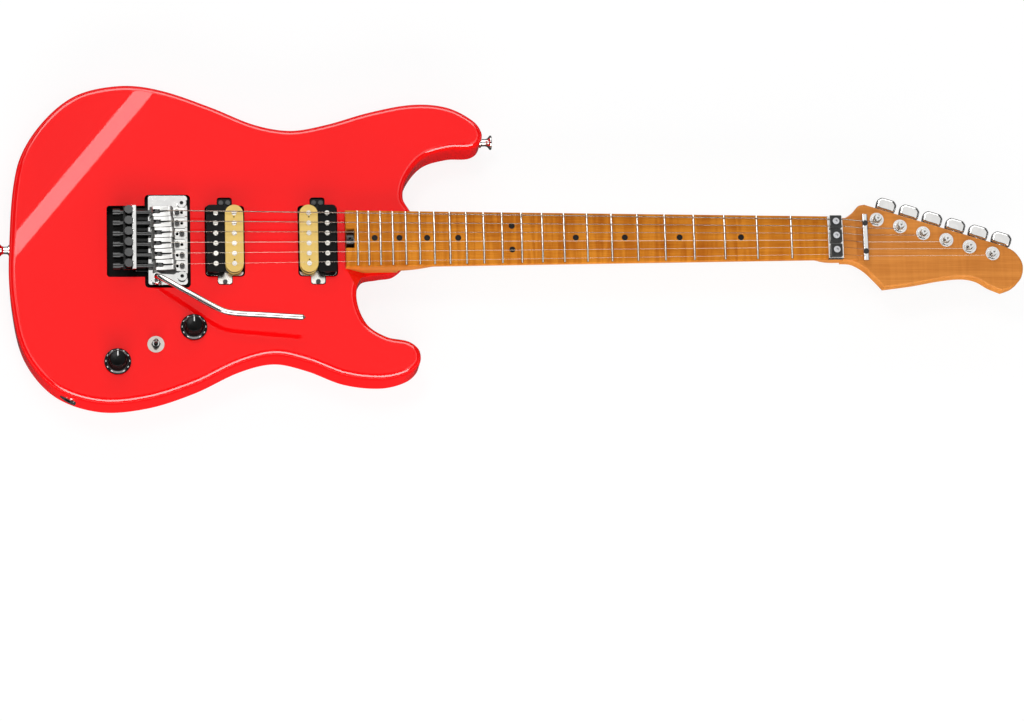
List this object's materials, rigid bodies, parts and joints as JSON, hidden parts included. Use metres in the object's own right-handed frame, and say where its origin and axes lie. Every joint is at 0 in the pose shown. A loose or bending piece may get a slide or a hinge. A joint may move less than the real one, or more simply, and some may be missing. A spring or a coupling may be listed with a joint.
{
  "type": "electric guitar",
  "caption": "Solid-body electric guitar with a bolt-on neck, double-locking vibrato bridge, in-line tuners, twin-coil pickups and a recessed side jack.",
  "frame": {"origin": "on the flat back of the body, under the saddle line, on the neck's centre line", "axes": "+X along the strings from the saddles to the headstock, +Y to the bass string's side, +Z out of the front, with the guitar lying on its back"},
  "size_m": [1.0147, 0.3239, 0.0879],
  "materials": {
    "red_paint": "gloss red lacquer over wood",
    "roasted_maple": "satin roasted flame maple",
    "fretboard_maple": "satin roasted flame maple, darker",
    "fret_wire": "polished nickel alloy",
    "black_inlay": "satin",
    "chrome": "mirror polished",
    "steel": "plain machined steel",
    "black_steel": "black oxide",
    "black_plastic": "satin moulded",
    "cream_plastic": "aged cream moulding",
    "coil_wire": "enamelled winding",
    "nickel": "nickel plated",
    "string_steel": "bright wound and plain wire",
    "wire_jacket": "insulated lead"
  },
  "bodies": {
    "guitar": {"body": "red_paint", "neck": "roasted_maple", "fretboard": "fretboard_maple", "frets": "fret_wire", "fret_dots": "black_inlay", "truss_rod": "steel", "neck_screws": "chrome", "nut_base": "chrome", "nut_clamps": "black_steel", "nut_clamp_screws": "black_steel", "string_retainer": "chrome", "tuner_bodies": "chrome", "wood_screws": "nickel", "strap_buttons": "chrome", "pickup_baseplates": "nickel", "black_bobbins": "black_plastic", "cream_bobbins": "cream_plastic", "pickup_coils": "coil_wire", "pickup_magnets": "black_steel", "pole_pieces": "nickel", "trem_studs": "chrome", "springs": "steel", "spring_claw": "steel", "spring_cover": "black_plastic", "control_cover": "black_plastic", "pots": "nickel", "panel_nuts": "chrome", "toggle_switch": "chrome", "output_jack": "chrome", "strings": "string_steel", "wiring": "wire_jacket"},
    "tremolo": {"trem_plate": "chrome", "trem_block": "steel", "saddles": "chrome", "string_lock_blocks": "steel", "bridge_screws": "black_steel", "arm_collar": "chrome"},
    "arm": {"trem_arm": "chrome"},
    "volume": {"volume_knob": "black_plastic"},
    "tone": {"tone_knob": "black_plastic"},
    "toggle": {"toggle_lever": "chrome"},
    "truss_wheel": {"truss_rod_wheel": "black_steel"},
    "post_1": {"tuner_post_1": "chrome"},
    "button_1": {"tuner_button_1": "chrome"},
    "fine_1": {"fine_tuner_1": "black_steel"},
    "post_2": {"tuner_post_2": "chrome"},
    "button_2": {"tuner_button_2": "chrome"},
    "fine_2": {"fine_tuner_2": "black_steel"},
    "post_3": {"tuner_post_3": "chrome"},
    "button_3": {"tuner_button_3": "chrome"},
    "fine_3": {"fine_tuner_3": "black_steel"},
    "post_4": {"tuner_post_4": "chrome"},
    "button_4": {"tuner_button_4": "chrome"},
    "fine_4": {"fine_tuner_4": "black_steel"},
    "post_5": {"tuner_post_5": "chrome"},
    "button_5": {"tuner_button_5": "chrome"},
    "fine_5": {"fine_tuner_5": "black_steel"},
    "post_6": {"tuner_post_6": "chrome"},
    "button_6": {"tuner_button_6": "chrome"},
    "fine_6": {"fine_tuner_6": "black_steel"}
  },
  "joints": [
    {"name": "tremolo_rock", "type": "hinge", "parent": "guitar", "child": "tremolo", "pos_m": [0.0066, 0, 0.0475], "axis": [0, 1, 0], "range_deg": [-6, 12], "stiffness_Nm_per_rad": 22, "deforming": ["strings", "springs"]},
    {"name": "arm_swing", "type": "hinge", "parent": "tremolo", "child": "arm", "pos_m": [-0.0145, -0.04, 0.055], "axis": [0, 0, 1], "range_deg": [-75, 12]},
    {"name": "volume_turn", "type": "hinge", "parent": "guitar", "child": "volume", "pos_m": [0.021, -0.087, 0.05], "axis": [0, 0, 1], "range_deg": [-150, 150]},
    {"name": "tone_turn", "type": "hinge", "parent": "guitar", "child": "tone", "pos_m": [-0.053, -0.121, 0.05], "axis": [0, 0, 1], "range_deg": [-150, 150]},
    {"name": "toggle_tilt", "type": "hinge", "parent": "guitar", "child": "toggle", "pos_m": [-0.016, -0.104, 0.0475], "axis": [0, 1, 0], "range_deg": [-13, 13]},
    {"name": "truss_wheel_turn", "type": "hinge", "parent": "guitar", "child": "truss_wheel", "pos_m": [0.17434, 0, 0.0466], "axis": [1, 0, 0], "range_deg": [-360, 360]},
    {"name": "post_1_turn", "type": "hinge", "parent": "guitar", "child": "post_1", "pos_m": [0.6996, 0.0202, 0.046], "axis": [0, 0, 1], "continuous": true},
    {"name": "button_1_turn", "type": "hinge", "parent": "guitar", "child": "button_1", "pos_m": [0.7122, 0.03518, 0.0258], "axis": [0.2907, 0.9568, 0], "continuous": true},
    {"name": "fine_1_turn", "type": "hinge", "parent": "tremolo", "child": "fine_1", "pos_m": [-0.0417, 0.027, 0.062], "axis": [0, 0, 1], "range_deg": [-720, 720]},
    {"name": "post_2_turn", "type": "hinge", "parent": "guitar", "child": "post_2", "pos_m": [0.72266, 0.01319, 0.046], "axis": [0, 0, 1], "continuous": true},
    {"name": "button_2_turn", "type": "hinge", "parent": "guitar", "child": "button_2", "pos_m": [0.73526, 0.02818, 0.0258], "axis": [0.2907, 0.9568, 0], "continuous": true},
    {"name": "fine_2_turn", "type": "hinge", "parent": "tremolo", "child": "fine_2", "pos_m": [-0.0417, 0.0162, 0.062], "axis": [0, 0, 1], "range_deg": [-720, 720]},
    {"name": "post_3_turn", "type": "hinge", "parent": "guitar", "child": "post_3", "pos_m": [0.74572, 0.00619, 0.046], "axis": [0, 0, 1], "continuous": true},
    {"name": "button_3_turn", "type": "hinge", "parent": "guitar", "child": "button_3", "pos_m": [0.75832, 0.02117, 0.0258], "axis": [0.2907, 0.9568, 0], "continuous": true},
    {"name": "fine_3_turn", "type": "hinge", "parent": "tremolo", "child": "fine_3", "pos_m": [-0.0417, 0.0054, 0.062], "axis": [0, 0, 1], "range_deg": [-720, 720]},
    {"name": "post_4_turn", "type": "hinge", "parent": "guitar", "child": "post_4", "pos_m": [0.76878, -0.00082, 0.046], "axis": [0, 0, 1], "continuous": true},
    {"name": "button_4_turn", "type": "hinge", "parent": "guitar", "child": "button_4", "pos_m": [0.78138, 0.01417, 0.0258], "axis": [0.2907, 0.9568, 0], "continuous": true},
    {"name": "fine_4_turn", "type": "hinge", "parent": "tremolo", "child": "fine_4", "pos_m": [-0.0417, -0.0054, 0.062], "axis": [0, 0, 1], "range_deg": [-720, 720]},
    {"name": "post_5_turn", "type": "hinge", "parent": "guitar", "child": "post_5", "pos_m": [0.79184, -0.00782, 0.046], "axis": [0, 0, 1], "continuous": true},
    {"name": "button_5_turn", "type": "hinge", "parent": "guitar", "child": "button_5", "pos_m": [0.80444, 0.00716, 0.0258], "axis": [0.2907, 0.9568, 0], "continuous": true},
    {"name": "fine_5_turn", "type": "hinge", "parent": "tremolo", "child": "fine_5", "pos_m": [-0.0417, -0.0162, 0.062], "axis": [0, 0, 1], "range_deg": [-720, 720]},
    {"name": "post_6_turn", "type": "hinge", "parent": "guitar", "child": "post_6", "pos_m": [0.8149, -0.01483, 0.046], "axis": [0, 0, 1], "continuous": true},
    {"name": "button_6_turn", "type": "hinge", "parent": "guitar", "child": "button_6", "pos_m": [0.8275, 0.00015, 0.0258], "axis": [0.2907, 0.9568, 0], "continuous": true},
    {"name": "fine_6_turn", "type": "hinge", "parent": "tremolo", "child": "fine_6", "pos_m": [-0.0417, -0.027, 0.062], "axis": [0, 0, 1], "range_deg": [-720, 720]}
  ],
  "couplings": [
    {"joint": "post_1_turn", "follows": "button_1_turn", "ratio": 0.066667},
    {"joint": "post_2_turn", "follows": "button_2_turn", "ratio": 0.066667},
    {"joint": "post_3_turn", "follows": "button_3_turn", "ratio": 0.066667},
    {"joint": "post_4_turn", "follows": "button_4_turn", "ratio": 0.066667},
    {"joint": "post_5_turn", "follows": "button_5_turn", "ratio": 0.066667},
    {"joint": "post_6_turn", "follows": "button_6_turn", "ratio": 0.066667}
  ]
}
